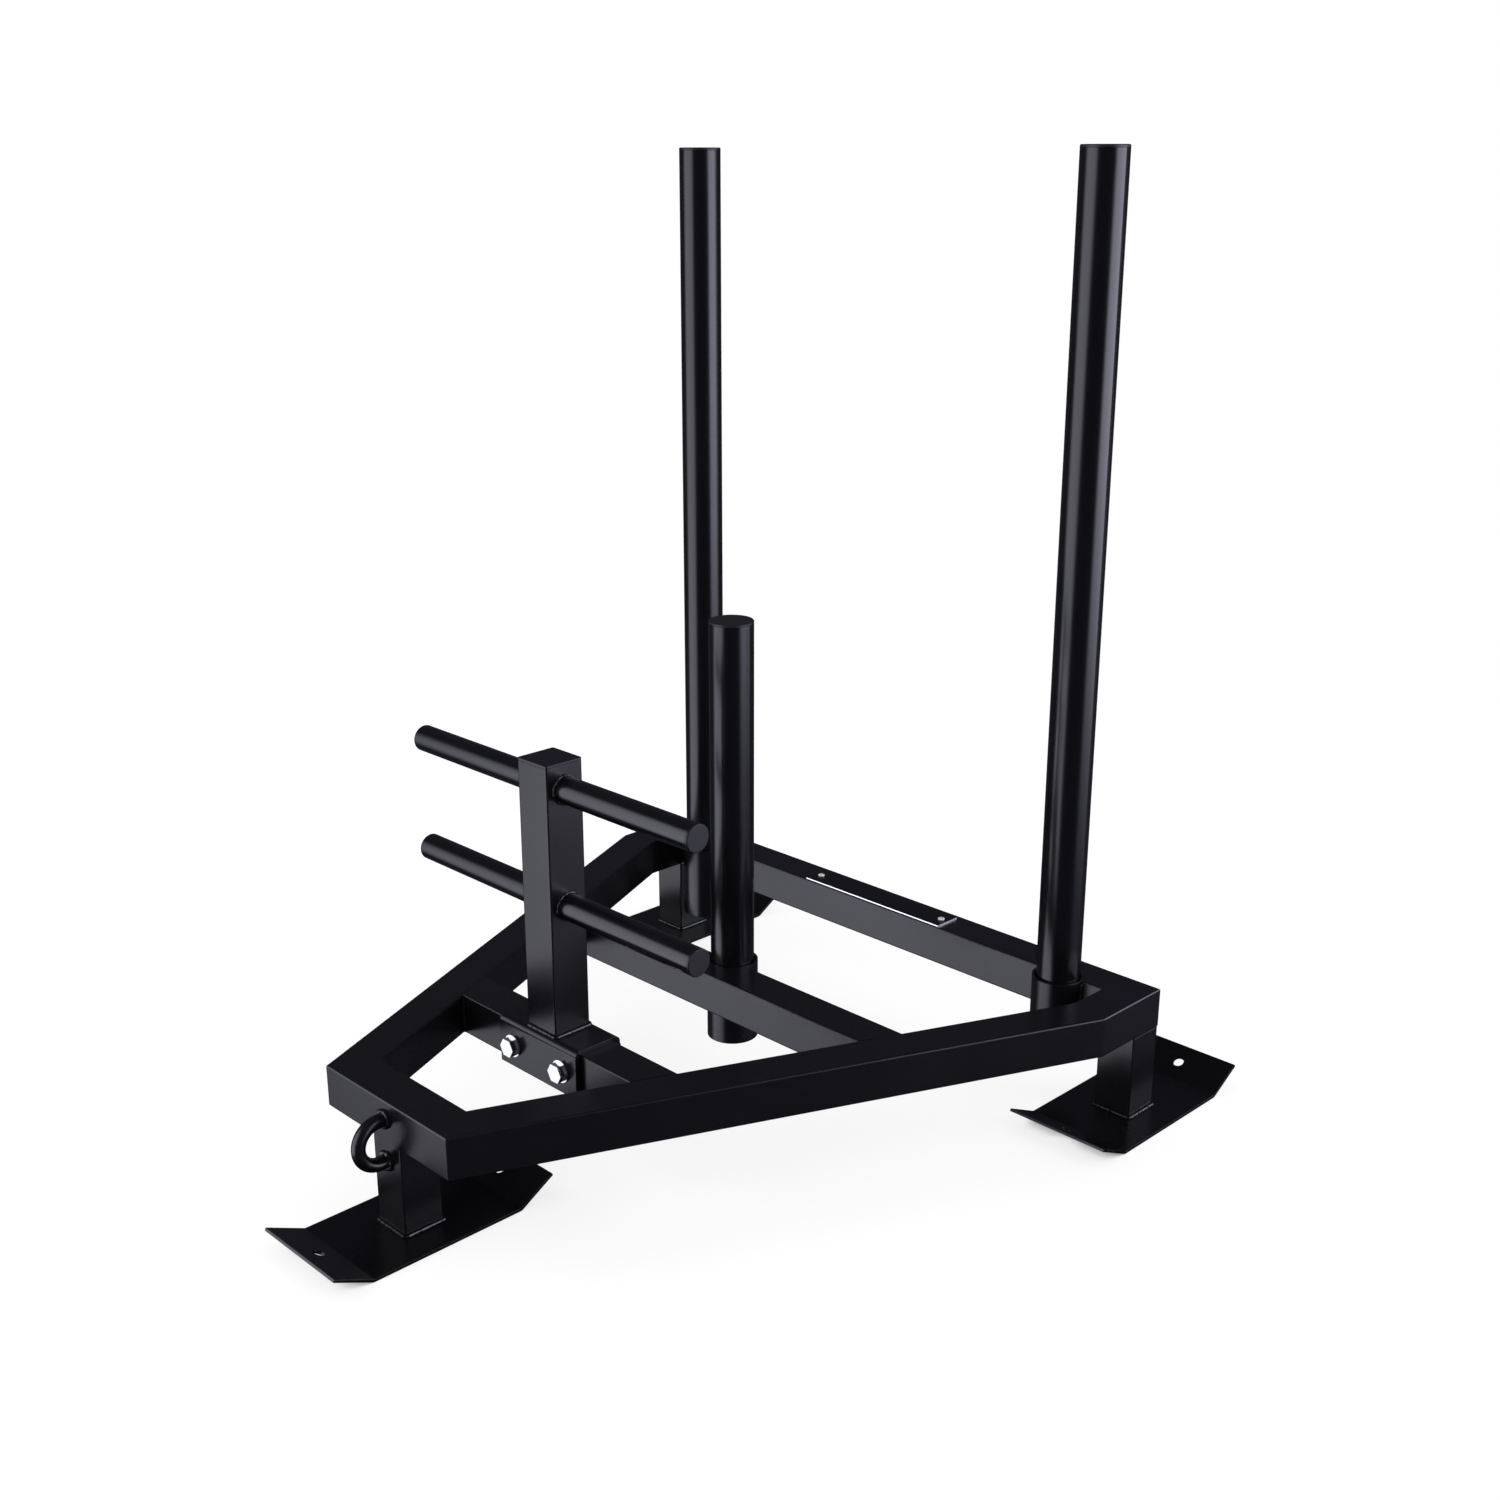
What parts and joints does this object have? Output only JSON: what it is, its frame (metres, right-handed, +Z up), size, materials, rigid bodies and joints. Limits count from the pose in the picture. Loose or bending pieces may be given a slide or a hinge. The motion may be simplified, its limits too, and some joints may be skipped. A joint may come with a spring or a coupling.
{
  "type": "push sled",
  "caption": "Push sled of welded square tube on bent skids, with lift-out push poles, a plate post, a low front handle and a tow loop.",
  "frame": {"origin": "on the ground, under the middle of the sled's length and width", "axes": "-Y is the way the sled's nose looks, +X is the right-hand side for someone who stands at the nose and looks back at the sled from above with the nose toward them, +Z is up along the posts"},
  "size_m": [0.837, 0.9452, 1.0065],
  "materials": {
    "frame_paint": "satin black powder coat",
    "skid_paint": "glossy black powder coat",
    "post_paint": "glossy black powder coat",
    "cap_plastic": "black moulded plastic",
    "zinc": "bright zinc plated",
    "plate_metal": "satin, blank"
  },
  "bodies": {
    "frame": {"nose_bar": "frame_paint", "side_rail_left": "frame_paint", "side_rail_right": "frame_paint", "corner_rail_left": "frame_paint", "corner_rail_right": "frame_paint", "rear_rail": "frame_paint", "mid_rail": "frame_paint", "front_rail": "frame_paint", "front_leg": "frame_paint", "rear_leg_left": "frame_paint", "rear_leg_right": "frame_paint", "pole_socket_left": "frame_paint", "pole_socket_right": "frame_paint", "post_socket": "frame_paint", "socket_floors": "frame_paint", "tow_loop": "frame_paint", "saddle": "frame_paint", "handle_post": "frame_paint", "handle_post_cap": "frame_paint", "front_skid": "skid_paint", "rear_skid_left": "skid_paint", "rear_skid_right": "skid_paint", "upper_handle": "post_paint", "lower_handle": "post_paint", "upper_handle_plugs": "post_paint", "lower_handle_plugs": "post_paint", "saddle_bolts": "zinc", "saddle_washers": "zinc", "saddle_nuts": "zinc", "plate_screws": "zinc", "name_plate": "plate_metal"},
    "push_pole_left": {"push_pole_left": "post_paint", "pole_cap_left": "cap_plastic"},
    "push_pole_right": {"push_pole_right": "post_paint", "pole_cap_right": "cap_plastic"},
    "weight_post": {"weight_post": "post_paint", "weight_post_cap": "cap_plastic"}
  },
  "joints": [
    {"name": "push_pole_left_lift", "type": "slide", "parent": "frame", "child": "push_pole_left", "axis": [0, 0, 1], "range_m": [0, 0.12]},
    {"name": "push_pole_right_lift", "type": "slide", "parent": "frame", "child": "push_pole_right", "axis": [0, 0, 1], "range_m": [0, 0.12]},
    {"name": "weight_post_lift", "type": "slide", "parent": "frame", "child": "weight_post", "axis": [0, 0, 1], "range_m": [0, 0.12]}
  ]
}
